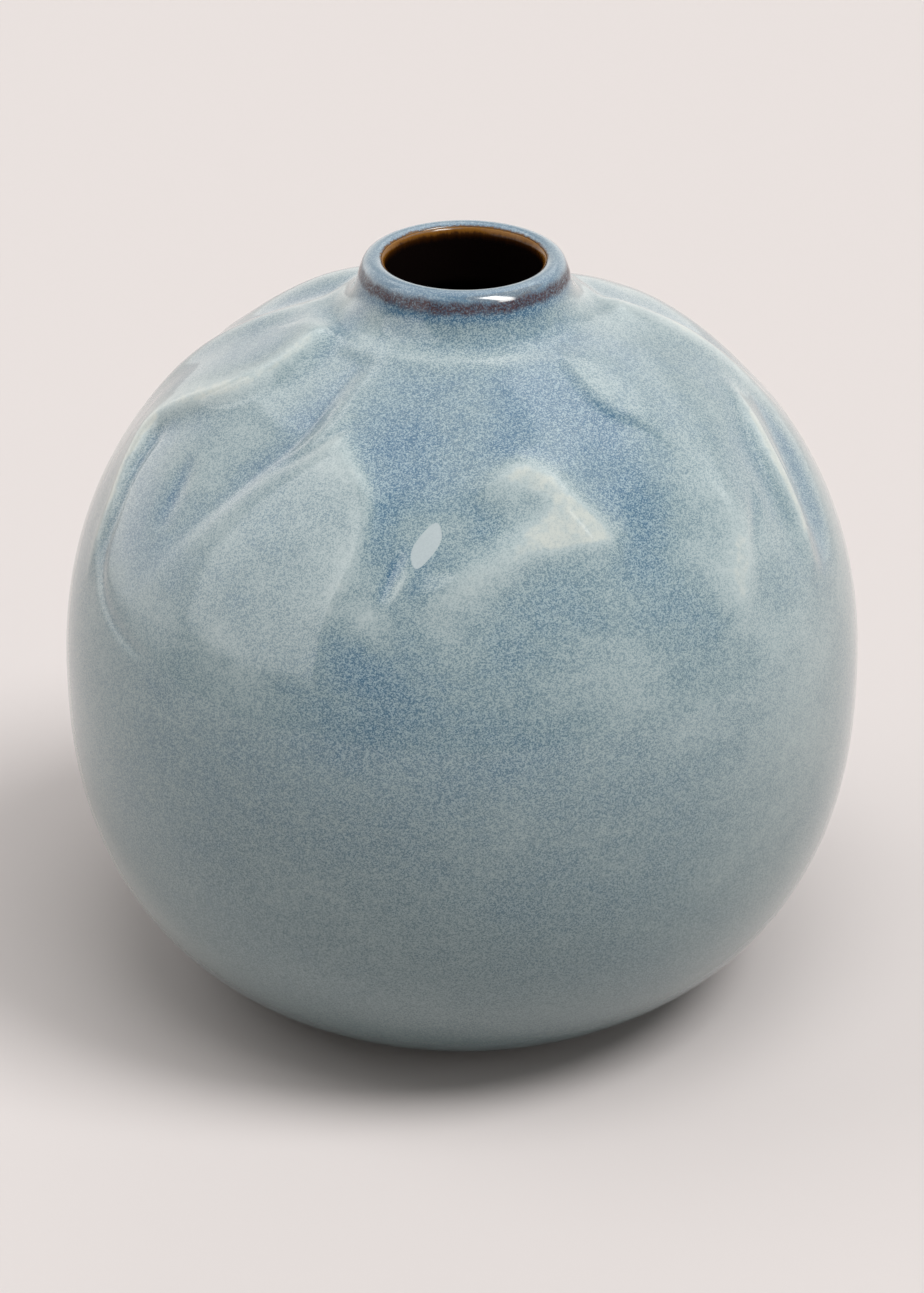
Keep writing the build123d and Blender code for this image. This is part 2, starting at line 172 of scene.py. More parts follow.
# tones of the glaze, laid out like the folds: above 0 it is thin and pale, below 0 it pools deep blue;
# a few pale tones are painted highlights, marked below
TONES = [
    # crests break pale, and on the front bump and the right front crest painted highlights are added
    (0.8, 2.5, 1.6, [(-84, 74, 0.6), (-70, 70, 0.9), (-65, 65, 0.9), (-64, 60, 0.8), (-68, 54, 0.9),
                     (-76, 48, 1.0), (-81, 43, 1.0), (-79, 38, 0.6)]),
    (1.7, 1.3, 1.0, [(-80, 43, 0.6), (-79.5, 38, 1.0), (-76.5, 31, 1.0), (-75.5, 24, 0.8), (-75, 18, 0.2)]),
    (1.0, 8.0, 6.0, [(-57, 64, 0.8), (-54, 58, 1.0), (-53, 52, 1.0), (-55, 46, 0.9), (-55, 40, 0.5)]),
    (0.7, 4.0, 0.8, [(-29, 54.5, 0.8), (-23, 51, 1.0), (-18.8, 47, 1.0), (-17.8, 42, 1.0), (-19, 37, 0.8),
                     (-21, 31, 0.3)]),
    # painted highlight on the front bump: its cap is painted pale partly as glaze breaking on the crest and
    # partly where the key light reflects, and the band below is that reflection's painted triangle
    (1.2, 3.4, 2.0, [(7, 49.5, 0.4), (13, 51.3, 1.0), (18, 49, 1.0), (21, 45.5, 0.9), (25, 41.5, 0.6)]),
    (1.2, 1.3, 3.8, [(14, 41.5, 0.4), (17, 41, 1.0), (22, 41, 1.0), (26.5, 40.3, 0.8)]),
    (0.8, 2.2, 2.8, [(17, 42, 0.8), (7, 38.5, 0.8), (-2, 34.5, 0.7), (-6, 31, 0.3)]),
    # partly a painted highlight: the thin pale line along the right front crest where the key light glints,
    # besides glaze breaking pale
    (0.4, 1.0, 6.0, [(45, 72, 0.4), (41, 67, 0.7), (41, 61, 1.0), (45, 57, 0.8), (48, 53, 0.1)]),
    (0.55, 14.0, 14.0, [(62, 72, 0.5), (72, 61, 0.9), (76, 55, 1.0)]),
    (0.45, 4.0, 3.0, [(56, 45, 0.3), (54, 40, 0.6), (51, 33, 1.0), (47, 26, 0.9), (44, 21, 0.3)]),
    (1.4, 1.3, 1.2, [(80, 47, 0.4), (74, 41, 1.0), (71, 35, 1.0), (69, 29, 0.8)]),
    (0.7, 4.0, 2.0, [(100, 72, 0.8), (97, 63, 1.0), (96, 55, 1.0), (94, 46, 0.7), (93, 38, 0.3)]),
    # painted highlight on the front bump, where the key light reflects
    (1.2, 5.0, 5.0, [(12, 47.5, 0.6), (11, 44, 1.0), (19, 42, 1.0)]),
    (1.3, 4.0, 4.0, [(-2, 44, 1.0), (-10, 43.5, 0.8)]),
    (0.9, 5.0, 5.0, [(-15, 36, 1.0), (-15.5, 32, 0.9)]),
    (1.1, 6.0, 6.0, [(-2, 29.5, 1.0), (2, 25, 0.6)]),
    (0.5, 8.0, 8.0, [(40, 35, 1.0), (45, 30, 1.0)]),
    (0.5, 4.5, 4.5, [(-61, 57, 1.0), (-66, 53, 1.0)]),
    (0.4, 8.0, 8.0, [(-33, 46, 0.6), (-29, 42, 1.0), (-30, 36, 0.7)]),
    (1.3, 0.7, 0.7, [(-8.6, 38.5, 0.5), (-9.5, 36.5, 1.0), (-10.8, 34, 0.7)]),
    # pale clouds, then a painted highlight along the foot of the neck
    (0.9, 3.0, 3.0, [(-54, 74, 1.0), (-51, 74, 1.0)]),
    (0.8, 3.5, 3.5, [(-15, 30, 1.0), (-13, 29, 1.0)]),
    (0.6, 8.0, 8.0, [(-39, 23, 1.0), (-34, 20, 1.0)]),
    (0.5, 9.0, 9.0, [(16, 22, 1.0), (40, 12, 0.8)]),
    (0.7, 15.0, 15.0, [(54, 14, 0.8), (52, 2, 1.0), (46, -12, 0.9)]),
    # painted highlight: the pale arc where the neck meets the ball
    (0.5, 1.6, 1.6, [(-34, 72.5, 0.5), (-20, 71.3, 1.0), (0, 71.3, 1.0), (20, 70.8, 0.9), (33, 70, 0.5)]),
    # hollows pool blue
    (-0.7, 7.0, 7.0, [(-26, 66, 0.3), (-19, 60, 0.8), (-13, 53, 1.0), (-14, 46, 0.9), (-16, 40, 0.4)]),
    (-1.3, 7.0, 7.0, [(15, 60, 0.6), (23, 61.5, 1.0), (29, 58, 0.7)]),
    (-0.8, 7.0, 7.0, [(22, 68.5, 0.8), (33, 70, 1.0), (43, 68, 1.0), (49, 64, 0.5)]),
    (-0.5, 9.0, 9.0, [(-82, 68, 0.8), (-62, 70, 1.0), (-45, 69, 0.6)]),
    (-0.5, 8.0, 8.0, [(-74, 40, 1.0), (-68, 34, 1.0)]),
    (-0.8, 7.0, 7.0, [(-65, 28, 0.8), (-53, 30, 1.0)]),
    (-0.8, 6.0, 6.0, [(-103, 52, 1.0), (-88, 49.5, 0.8)]),
    (-0.9, 7.0, 7.0, [(55, 69, 0.8), (63, 66, 1.0), (68, 63, 0.5)]),
    (-0.9, 4.5, 4.5, [(12, 55, 0.7), (16, 54, 1.0), (23.5, 48.5, 1.0), (26, 45, 0.6)]),
    (-0.6, 3.5, 3.5, [(57, 42, 0.8), (56, 39, 1.0)]),
    (-0.8, 6.0, 6.0, [(73, 31, 1.0), (68, 24, 0.8)]),
    (-0.35, 9.0, 9.0, [(-20, 10, 1.0), (-16, 1, 1.0)]),
    (-0.7, 3.5, 4.0, [(-66, 75, 0.8), (-45, 77, 0.7), (-20, 78, 0.8), (5, 78.5, 1.0), (30, 78, 0.5)]),
    (-0.25, 18.0, 18.0, [(-6, 15, 1.0), (-3, 10, 0.8)]),
    (-0.7, 8.0, 6.0, [(0, 67, 0.6), (14, 65, 0.9), (27, 63, 0.8), (33, 56, 0.7), (36, 48, 0.8), (35, 41, 1.0),
                      (33, 35, 0.9), (40, 29, 0.6)]),
    (-1.0, 5.0, 5.0, [(-20, 26, 0.5), (-15, 23, 1.0), (-10, 20, 0.7), (-17, 17, 0.3)]),
    (-1.1, 1.2, 1.0, [(-11, 38.5, 0.5), (-12, 36, 1.0), (-12.8, 33.5, 0.6)]),
    (-0.5, 1.8, 2.0, [(-43, 66, 0.5), (-40, 60, 0.9), (-38.5, 55, 1.0), (-43, 48, 0.8), (-48, 39, 0.3)]),
    (-1.4, 2.8, 6.0, [(86, 46, 0.4), (82, 38, 1.0), (77, 30, 1.1), (72, 24, 0.5)]),
    (-0.6, 5.0, 5.0, [(-117, 70, 0.7), (-114, 62, 1.0), (-110, 52, 0.5)]),
    (-1.5, 1.6, 1.4, [(-63, 43, 0.4), (-61.5, 39.5, 1.0), (-60.5, 35.5, 0.7)]),
    (-0.5, 7.0, 7.0, [(150, 64, 0.8), (151, 54, 1.0), (-170, 60, 1.0), (-168, 50, 0.6)]),
    (-0.5, 4.0, 5.0, [(110, 68, 0.8), (108, 58, 1.0), (105, 48, 0.6)]),
]
TONE_LIMITS = (-1.3, 1.8)

# crests and hollows add their own tone: the rings and points each way of the blurred folds that they are set
# against, the tone that a millimetre gives, and the most that it may give
RELIEF_ROWS, RELIEF_COLUMNS = 8, 9
RELIEF_TONE, RELIEF_LIMIT = 0.9, 0.8

# grain of the surfaces, in cells per metre
BROAD_CLOUDS, CLOUDS, MOTTLE = 22.0, 62.0, 620.0
SPECK_CELLS, SPECK_CLUMPS = 4600.0, 3900.0
GLAZE_RIPPLE, GLAZE_PITS, GLOSS_CLOUDS = 170.0, 1500.0, 60.0
BREAK_EDGE, BREAK_PATCHES, BREAK_DOTS, BREAK_MOTTLE = 330.0, 110.0, 2600.0, 900.0
AMBER_STREAKS = 1000.0
LINER_CLOUDS, LINER_RIPPLE = 160.0, 260.0
CLAY_SAND, CLAY_CLOUDS, CLAY_SPECKS = 1500.0, 45.0, 620.0
TURNING_LINES = 6400.0  # radians per metre
NOISE_RANGE = (0.3, 0.7)  # where most values of a noise lie

# how deep the glaze pools: at tone 0, for each step of tone, by the clouds' swings, and more on the neck
POOL_MIDDLE, POOL_PER_TONE = 0.47, -0.26
BROAD_SWING, CLOUD_SWING, MOTTLE_SWING = 0.40, 0.55, 0.30
NECK_POOL = 0.45

# the specks: shares of clumps and of single cells in them, how a pool crowds them, and their contrast
CLUMP_SHARE, CELL_SHARE = 0.75, 0.50
SPECK_CROWDING = 0.22
SPECK_RANGE = (0.28, 0.72)

# colours, with the pale and blue stops from thin glaze to thick, and the amber ones down into the neck
PALE_STOPS = [(0.0, (0.610, 0.655, 0.620)), (0.14, (0.490, 0.575, 0.585)),
              (0.45, (0.385, 0.480, 0.500)), (0.85, (0.335, 0.455, 0.520))]
BLUE_STOPS = [(0.0, (0.530, 0.585, 0.565)), (0.14, (0.365, 0.455, 0.480)),
              (0.45, (0.160, 0.252, 0.305)), (0.85, (0.062, 0.155, 0.256))]
LIP_BLUE = (0.205, 0.292, 0.375, 1.0)
# painted shade: colours for the lower body, and the darker one for the foot
LOW_SHADE_PALE, LOW_SHADE_DEEP = (0.128, 0.184, 0.190, 1.0), (0.068, 0.112, 0.124, 1.0)
FOOT_SHADE_BLUE = (0.026, 0.066, 0.076, 1.0)
# painted sheen: the pale colour mixed in at slanted rims, in place of their reflection
RIM_SHEEN_COLOUR = (0.555, 0.585, 0.560, 1.0)
# painted highlight: the colour of the pale spot painted on the front
PAINTED_GLINT_COLOUR = (0.530, 0.600, 0.620, 1.0)
BREAK_DARK, BREAK_LIGHT = (0.032, 0.018, 0.024, 1.0), (0.125, 0.082, 0.093, 1.0)
LINER_BLACK = (0.006, 0.0035, 0.003)
AMBER_STOPS = [(0.0, (0.080, 0.050, 0.045)), (0.10, (0.270, 0.125, 0.027)), (0.34, (0.205, 0.080, 0.009)),
               (0.58, (0.050, 0.016, 0.002)), (1.0, LINER_BLACK)]
CLAY_STOPS = [(0.30, (0.33, 0.235, 0.155)), (0.50, (0.46, 0.355, 0.255)), (0.72, (0.58, 0.475, 0.365))]
CLAY_IRON = (0.075, 0.04, 0.025, 1.0)

# how much of each colour shows over the ones below it
LIP_BLUE_SHARE, LOW_SHADE_SHARE, FOOT_SHADE_SHARE, IRON_SHARE = 0.45, 0.86, 0.40, 0.7
# painted rim sheen
RIM_SHEEN_POWER, RIM_SHEEN_SHARES = 2.6, (0.05, 0.68)  # how it grows with the slant, and its share low and high up
IRON_RANGE = (0.27, 0.31)  # the lowest values of a noise become the clay's iron specks

# heights (m) between which painted shade darkens the glaze downwards and deepens at the foot, and the glaze
# gains its painted rim sheen
LOW_SHADE_HEIGHTS, FOOT_SHADE_HEIGHTS, RIM_SHEEN_HEIGHTS = (0.125, 0.004), (0.034, 0.008), (0.006, 0.034)

# lip angles (0 is the lip's outer side, 90 its crest, 180 its inner side) between which the neck's glaze
# thickens, the lip turns blue, the brown band begins and ends, and the inside turns amber and then black
NECK_THICKENS, LIP_TURNS_BLUE = (-112.0, -30.0), (-30.0, 20.0)
BREAK_BEGINS, BREAK_ENDS = (-54.0, -22.0), (38.0, 2.0)
INSIDE_BEGINS, AMBER_TO_BLACK = (116.0, 130.0), (118.0, 200.0)
BREAK_RAGGED, AMBER_RAGGED = 50.0, 34.0  # how far the edges of both wander

# roughness from least to most, and bumps as strength and height (m)
GLAZE_ROUGHNESS, LINER_ROUGHNESS, CLAY_ROUGHNESS = (0.05, 0.11), (0.08, 0.2), (0.78, 0.92)
GLAZE_BUMP, LINER_BUMP, CLAY_BUMP = (0.16, 0.0004), (0.2, 0.0004), (0.5, 0.0003)
PIT_RANGE, PIT_DEPTH = (0.22, 0.30), 0.10  # the lowest values of a noise become pits in the glaze
LINE_DEPTH, SAND_DEPTH = 0.10, 0.8  # turning lines and sand in the clay's bump

# how strongly the surfaces mirror, with the lip's browns less so than the blue glaze
GLAZE_IOR, CLAY_IOR = 1.5, 1.45
GLAZE_SPECULAR, BREAK_SPECULAR_LOSS, LINER_SPECULAR = 0.5, 0.40, 0.15

# studio
FLOOR_COLOUR = (0.727, 0.677, 0.662, 1.0)
BACKDROP_COLOUR = (0.815, 0.753, 0.730, 1.0)
# how far the floor reaches to each side, to the front and to the rear (m)
FLOOR_REACH = (0.72, 0.9, 2.0)
# lamps: azimuth, elevation, spread in degrees, strength
LAMPS = {
    "key_light": (66.0, 57.0, 24.0, 1.62),
    "top_light": (8.0, 76.0, 34.0, 0.88),
    "left_light": (-100.0, 46.0, 40.0, 0.42),
    "rear_light": (175.0, 16.0, 40.0, 0.45),
    "right_light": (72.0, 10.0, 40.0, 0.36),
    "left_fill": (-80.0, 8.0, 40.0, 0.22),
}
ROOM_LIGHT = 0.255
ROOM_COLOUR = (1.0, 0.968, 0.928, 1.0)
# the glow at the back of the room: its strength, where it sets in towards the back, and where it ends upwards
REAR_GLOW = 1.05
GLOW_BEGINS, GLOW_ENDS = (-0.35, 0.75), (0.75, 0.1)
# the glaze lies flat and glassy in a spot of the lip, where it mirrors the key panel: azimuth and elevation
# of that panel, the share of its own slope that the glaze loses, how squarely a place has to face halfway
# between camera and panel, and the lip angles between which the spot begins and ends
KEY_PANEL = (57.0, 43.0)
GLINT_FLATNESS = 0.8
GLINT_FACING = (0.93, 0.96)
GLINT_BEGINS, GLINT_ENDS = (8.0, 16.0), (146.0, 138.0)
GLINT_ROUGHNESS, GLINT_IOR = 0.04, 4.0
# panels that the glaze mirrors: azimuth, elevation, half width and half height in degrees, strength, then
# the softness of the upright edges and of the level ones
PANELS = [
    (-64.0, 33.0, 25.0, 27.5, 2.05, 0.05, 0.07),
    (-118.0, 28.0, 31.0, 32.0, 1.15, 0.16, 0.12),
    (135.0, 48.0, 30.0, 20.0, 1.3, 0.06, 0.06),
    (180.0, 74.0, 34.0, 26.0, 1.6, 0.10, 0.10),
    (*KEY_PANEL, 1.7, 6.6, 2.8, 0.01, 0.01),
]

# painted highlight on the front: a pale spot painted into the glaze where a softbox's reflection would show:
# azimuth, latitude, half length and half width (mm), lean in degrees from upright, how far its ends are
# sheared, how square its outline is, where its edge fades as a share of its size, and its cover
PAINTED_GLINT_AZIMUTH, PAINTED_GLINT_LATITUDE = -6.3, 41.2
PAINTED_GLINT_HALF_LENGTH, PAINTED_GLINT_HALF_WIDTH = 4.2, 2.1
PAINTED_GLINT_LEAN = 36.0
PAINTED_GLINT_SHEAR = 0.35
PAINTED_GLINT_SQUARENESS = 2.8
PAINTED_GLINT_EDGE = (1.12, 0.88)
PAINTED_GLINT_COVER = 0.85

# camera: the point that its distance is measured from, and how far off that point it aims (m); lens in mm
CAMERA_TARGET = (0.0, 0.0, 0.067)
CAMERA_LIFT = (0.0, 0.0009, 0.0018)
CAMERA_ELEVATION = 27.5
CAMERA_DISTANCE = 0.933
LENS = 128.07
SENSOR_WIDTH = 36.0


def smooth(value, start, end):
    """0 before start, 1 after end, and an S-curve between."""
    share = np.clip((value - start) / (end - start), 0.0, 1.0)
    return share * share * (3.0 - 2.0 * share)


def rounded_line(line):
    """A finer, rounded line through the given places."""
    ends = [line[0]] + list(line) + [line[-1]]
    fine = []
    for p0, p1, p2, p3 in zip(ends, ends[1:], ends[2:], ends[3:]):
        p0, p1, p2, p3 = (np.array(p, float) for p in (p0, p1, p2, p3))
        for cut in range(LINE_CUTS):
            t = cut / LINE_CUTS
            bend = (2 * p0 - 5 * p1 + 4 * p2 - p3) * t * t + (3 * p1 - p0 - 3 * p2 + p3) * t**3
            fine.append(0.5 * (2 * p1 + (p2 - p0) * t + bend))
    return fine + [np.array(line[-1], float)]


def fold_heights(folds, azimuth, latitude):
    """Height of all the folds together, at arrays of places on the ball."""
    scale = math.radians(1.0) * BALL_RADIUS
    squeeze = np.cos(np.radians(latitude))
    total = np.zeros_like(azimuth)
    for height, lower_width, higher_width, line in folds:
        fine = rounded_line(line)
        nearest = np.full_like(azimuth, np.inf)
        side = np.zeros_like(azimuth)
        share = np.zeros_like(azimuth)
        for (az_a, lat_a, share_a), (az_b, lat_b, share_b) in zip(fine, fine[1:]):
            turn = (azimuth - az_a + 180.0) % 360.0 - 180.0
            px, py = turn * squeeze * scale, (latitude - lat_a) * scale
            dx, dy = (az_b - az_a) * squeeze * scale, (lat_b - lat_a) * scale
            along = np.clip((px * dx + py * dy) / (dx * dx + dy * dy), 0.0, 1.0)
            gap = np.hypot(px - along * dx, py - along * dy)
            closer = gap < nearest
            nearest = np.where(closer, gap, nearest)
            side = np.where(closer, dx * py - dy * px, side)
            share = np.where(closer, share_a + along * (share_b - share_a), share)
        width = np.where(side > 0, higher_width, lower_width)
        total += height * np.clip(share, 0.0, None) * np.exp(-((nearest / width) ** 2))
    return total


def ball_reach(latitude):
    """Distance from the ball's middle to its outside, before any fold."""
    rise, power = (BALL_RISE, RISE_POWER) if latitude >= 0 else (BALL_DROP, DROP_POWER)
    across = math.cos(math.radians(latitude)) / BALL_RADIUS
    up = abs(math.sin(math.radians(latitude))) / rise
    return (across**power + up**power) ** (-1.0 / power)


def ball_place(latitude, inset):
    """Radius and height of the plain ball at one latitude."""
    reach = ball_reach(latitude) - inset
    turn = math.radians(latitude)
    return reach * math.cos(turn), BALL_MIDDLE_Z + reach * math.sin(turn)


def ball_slope(latitude, inset, pull):
    """A step of length pull along the ball's side at one latitude, away from the equator."""
    here = ball_place(latitude, inset)
    beyond = ball_place(latitude + (1.0 if latitude > 0 else -1.0), inset)
    length = math.hypot(beyond[0] - here[0], beyond[1] - here[1])
    return pull * (beyond[0] - here[0]) / length, pull * (beyond[1] - here[1]) / length


def blend_curve(start, start_pull, end, end_pull, count):
    """Places along a smooth curve that leaves start and reaches end in line with their pulls."""
    controls = np.array([start, np.add(start, start_pull), np.add(end, end_pull), end])
    places = []
    for share in np.linspace(0.0, 1.0, count + 1)[:-1]:
        rest = 1.0 - share
        weights = (rest**3, 3.0 * share * rest**2, 3.0 * share**2 * rest, share**3)
        places.append(tuple(np.dot(weights, controls)))
    return places


def latitudes(first, last, fine_step):
    """Ring latitudes: wide steps on the plain part and fine ones over the folds."""
    low = np.arange(first, FOLDS_START, COARSE_STEP)
    count = int(round((last - FOLDS_START) / fine_step))
    return list(low) + list(np.linspace(FOLDS_START, last, count + 1))


def lip_place(angle, roll):
    """A place on the rolled lip: 0 is its outer side, 90 its crest and 180 its inner side."""
    turn = math.radians(angle)
    return LIP_RING_RADIUS + roll * math.cos(turn), LIP_RING_Z + roll * math.sin(turn)


class Rings:
    """Closed rings of points, gathered from bottom to top or along a path, with values for the glaze."""

    def __init__(self):
        self.azimuth = np.arange(AROUND) * 360.0 / AROUND
        self.rows = []
        self.fold = []
        self.lip = []
        self.tone = []

    def add(self, x, y, z, fold, lip):
        self.rows.append(np.stack([x, y, np.broadcast_to(z, x.shape)], axis=1))
        self.fold.append(np.broadcast_to(fold, x.shape))
        self.lip.append(np.broadcast_to(lip, x.shape))
        self.tone.append(np.zeros(x.shape))

    def level(self, radius, z, shift=0.0, lip=FAR_OUTSIDE):
        """A level circle."""
        turn = np.radians(self.azimuth)
        self.add(shift + radius * np.sin(turn), -radius * np.cos(turn), np.full(AROUND, float(z)), 0.0, lip)

    def on_ball(self, latitude, inset, folds):
        """A ring round the ball that follows the folds."""
        shift = NECK_SHIFT_X * float(smooth(latitude, BLEND_LATITUDE, NECK_LATITUDE))
        fade = 1.0 - float(smooth(latitude, FADE_START_LATITUDE, NECK_LATITUDE))
        fold = np.zeros(AROUND)
        if latitude >= FOLDS_START:
            fold = fade * fold_heights(folds, self.azimuth, np.full(AROUND, float(latitude)))
        reach = ball_reach(latitude) - inset + fold
        turn, tilt = np.radians(self.azimuth), math.radians(latitude)
        across = reach * math.cos(tilt)
        z = BALL_MIDDLE_Z + reach * math.sin(tilt)
        self.add(shift + across * np.sin(turn), -across * np.cos(turn), z, fold, FAR_OUTSIDE)


def neck_places(inset):
    """Places up the outside of the neck, rounded, inset square to its line, with lip angles."""
    start = ball_place(NECK_LATITUDE, 0.0)
    line = [start] + NECK_LINE + [lip_place(LIP_START_ANGLE, LIP_ROLL)]
    fine = rounded_line([(radius, z, 0.0) for radius, z in line])
    places = []
    for before, here, after in zip(fine, fine[1:], fine[2:]):
        along = after[:2] - before[:2]
        out = np.array([along[1], -along[0]]) / np.hypot(*along)
        radius, z = here[:2] - inset * out
        drop = math.hypot(here[0] - fine[-1][0], here[1] - fine[-1][1])
        places.append((radius, z, LIP_START_ANGLE - math.degrees(drop / LIP_ROLL)))
    return places


def outside_rings(inset, glaze_line, folds, fine_step):
    """The pot's outside from the glaze line under the ball up to where the lip begins."""
    rings = Rings()
    end = ball_place(TUCK_LATITUDE, inset)
    pull = ball_slope(TUCK_LATITUDE, inset, TUCK_PULL)
    for radius, z in blend_curve(glaze_line, (TUCK_PULL, 0.0), end, pull, TUCK_RINGS):
        rings.level(radius, z)
    for latitude in latitudes(TUCK_LATITUDE, NECK_LATITUDE, fine_step):
        rings.on_ball(latitude, inset, folds)
    for radius, z, lip in neck_places(inset):
        rings.level(radius, z, NECK_SHIFT_X, lip)
    return rings


def add_lip(rings, first, last, roll, count):
    """Rings round the lip, from one angle to another."""
    for angle in np.linspace(first, last, count):
        rings.level(*lip_place(angle, roll), NECK_SHIFT_X, angle)


def cavity_rings(rings, inset, throat_radius, floor_z, fine_step):
    """The pot's inside from the throat down to the edge of its floor."""
    for z in np.linspace(LIP_RING_Z - THROAT_TOP_DROP, THROAT_FOOT_Z, THROAT_RINGS):
        rings.level(throat_radius, z, NECK_SHIFT_X, 180.0 + (LIP_RING_Z - z) * LIP_ANGLE_PER_MM)
    foot = (throat_radius, THROAT_FOOT_Z)
    ceiling = ball_place(CEILING_LATITUDE, inset)
    pull = ball_slope(CEILING_LATITUDE, inset, THROAT_PULL)
    for radius, z in blend_curve(foot, (0.0, -THROAT_PULL), ceiling, pull, CEILING_RINGS)[1:]:
        rings.level(radius, z, NECK_SHIFT_X, DEEP_INSIDE)
    for latitude in reversed(latitudes(FLOOR_LATITUDE, CEILING_LATITUDE, fine_step)):
        rings.on_ball(latitude, inset, FOLDS)
    edge = (FLOOR_RADIUS, floor_z)
    side = ball_place(FLOOR_LATITUDE, inset)
    pull = ball_slope(FLOOR_LATITUDE, inset, FLOOR_PULL)
    for radius, z in reversed(blend_curve(edge, (FLOOR_PULL, 0.0), side, pull, FLOOR_BEND_RINGS)):
        rings.level(radius, z)


def build(name, rings, closed, body="root"):
    """A mesh through the rings: closed joins the last ring to the first, otherwise both ends are capped."""
    rows = np.concatenate(rings.rows)
    count = len(rings.rows)
    here = np.arange(AROUND)
    after = (here + 1) % AROUND
    faces = []
    for row in range(count if closed else count - 1):
        a, b = row * AROUND, ((row + 1) % count) * AROUND
        faces.append(np.stack([a + here, a + after, b + after, b + here], axis=1))
    faces = np.concatenate(faces).tolist()
    if not closed:
        faces.append(here[::-1].tolist())
        faces.append(((count - 1) * AROUND + here).tolist())
    mesh = bpy.data.meshes.new(name)
    mesh.from_pydata((rows * MM).tolist(), [], faces)
    for key, values in (("fold", rings.fold), ("lip", rings.lip), ("tone", rings.tone)):
        mesh.attributes.new(key, "FLOAT", "POINT").data.foreach_set(
            "value", np.concatenate(values).astype(np.float32))
    mesh.shade_smooth()
    mesh.validate()
    piece = bpy.data.objects.new(name, mesh)
    bpy.context.scene.collection.objects.link(piece)
    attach(piece, body)
    return piece


def follow_with(rings, other, reverse=False):
    """Add another set of rings after these ones, in reverse where they are the back of a coat."""
    for name in RING_VALUES:
        values = getattr(other, name)
        getattr(rings, name).extend(values[::-1] if reverse else values)


def blurred(field, rows, columns):
    """A field smoothed over so many rows and columns each way; columns go round."""
    for _ in range(2):
        field = sum(np.roll(field, shift, axis=1) for shift in range(-columns, columns + 1))
        field = field / (2 * columns + 1)
        padded = np.pad(field, ((rows, rows), (0, 0)), mode="edge")
        field = sum(padded[k:k + len(field)] for k in range(2 * rows + 1)) / (2 * rows + 1)
    return field


def tone_rings(rings):
    """Where the glaze is thick or thin, and where highlights are painted pale: listed tones, and crests
    against hollows.
    """
    points = np.array(rings.rows)
    flat = np.hypot(points[..., 0], points[..., 1])
    latitude = np.degrees(np.arctan2(points[..., 2] - BALL_MIDDLE_Z, flat))
    azimuth = np.broadcast_to(rings.azimuth, latitude.shape)
    fold = np.array(rings.fold)
    relief = fold - blurred(fold, RELIEF_ROWS, RELIEF_COLUMNS)
    tone = fold_heights(TONES, azimuth, latitude) + np.clip(relief * RELIEF_TONE, -RELIEF_LIMIT, RELIEF_LIMIT)
    rings.tone = list(np.clip(tone, *TONE_LIMITS))


def make_outer_glaze():
    """The blue coat, from its rolled edge above the foot, over the ball, neck and lip, to the seam."""
    edge = (GLAZE_LINE_RADIUS + GLAZE_EDGE_REACH, GLAZE_LINE_Z)
    front = outside_rings(0.0, edge, FOLDS + CREASES, FINE_STEP)
    add_lip(front, LIP_START_ANGLE, SEAM_ANGLE, LIP_ROLL, GLAZE_LIP_RINGS)
    tone_rings(front)
    back = outside_rings(CLAY_GAP, (GLAZE_LINE_RADIUS, GLAZE_LINE_Z + GLAZE_COAT), FOLDS, PLAIN_STEP)
    add_lip(back, LIP_START_ANGLE, SEAM_ANGLE, LIP_ROLL - GLAZE_COAT, HIDDEN_LIP_RINGS)
    follow_with(front, back, reverse=True)
    return build("outer_glaze_coat", front, closed=True)


def liner_side(coat, lip_count, fine_step):
    """Rings down one side of the liner, from the seam to the middle of the floor."""
    rings = Rings()
    add_lip(rings, SEAM_ANGLE, 180.0, LIP_ROLL - GLAZE_COAT + coat, lip_count)
    throat_radius = LIP_RING_RADIUS - LIP_ROLL + GLAZE_COAT - coat
    cavity_rings(rings, CLAY_WALL + GLAZE_COAT + coat, throat_radius, FLOOR_Z + coat, fine_step)
    for radius in FLOOR_RINGS:
        rings.level(radius, FLOOR_Z + coat)
    return rings


def make_liner_glaze():
    """The brown coat inside: from the middle of the floor up its clay side, round the seam, and back down."""
    rings = Rings()
    follow_with(rings, liner_side(0.0, HIDDEN_LIP_RINGS, HIDDEN_STEP), reverse=True)
    follow_with(rings, liner_side(GLAZE_COAT, LINER_LIP_RINGS, PLAIN_STEP))
    return build("liner_glaze_coat", rings, closed=False)


def make_stoneware():
    """The clay: recess, foot ring, wall and the core of the lip, then the wall's inside and the floor."""
    rings = Rings()
    for radius in reversed(FLOOR_RINGS):
        rings.level(radius, FOOT_LINE[-1][1])
    for radius, z in reversed(FOOT_LINE):
        rings.level(radius, z)
    wall = outside_rings(CLAY_GAP, (GLAZE_LINE_RADIUS, GLAZE_LINE_Z + GLAZE_COAT), FOLDS, PLAIN_STEP)
    add_lip(wall, LIP_START_ANGLE, 180.0, LIP_ROLL - GLAZE_COAT, CLAY_LIP_RINGS)
    throat_radius = LIP_RING_RADIUS - LIP_ROLL + GLAZE_COAT
    cavity_rings(wall, CLAY_WALL + GLAZE_COAT, throat_radius, FLOOR_Z, HIDDEN_STEP)
    follow_with(rings, wall)
    for radius in FLOOR_RINGS:
        rings.level(radius, FLOOR_Z)
    return build("stoneware", rings, closed=False)


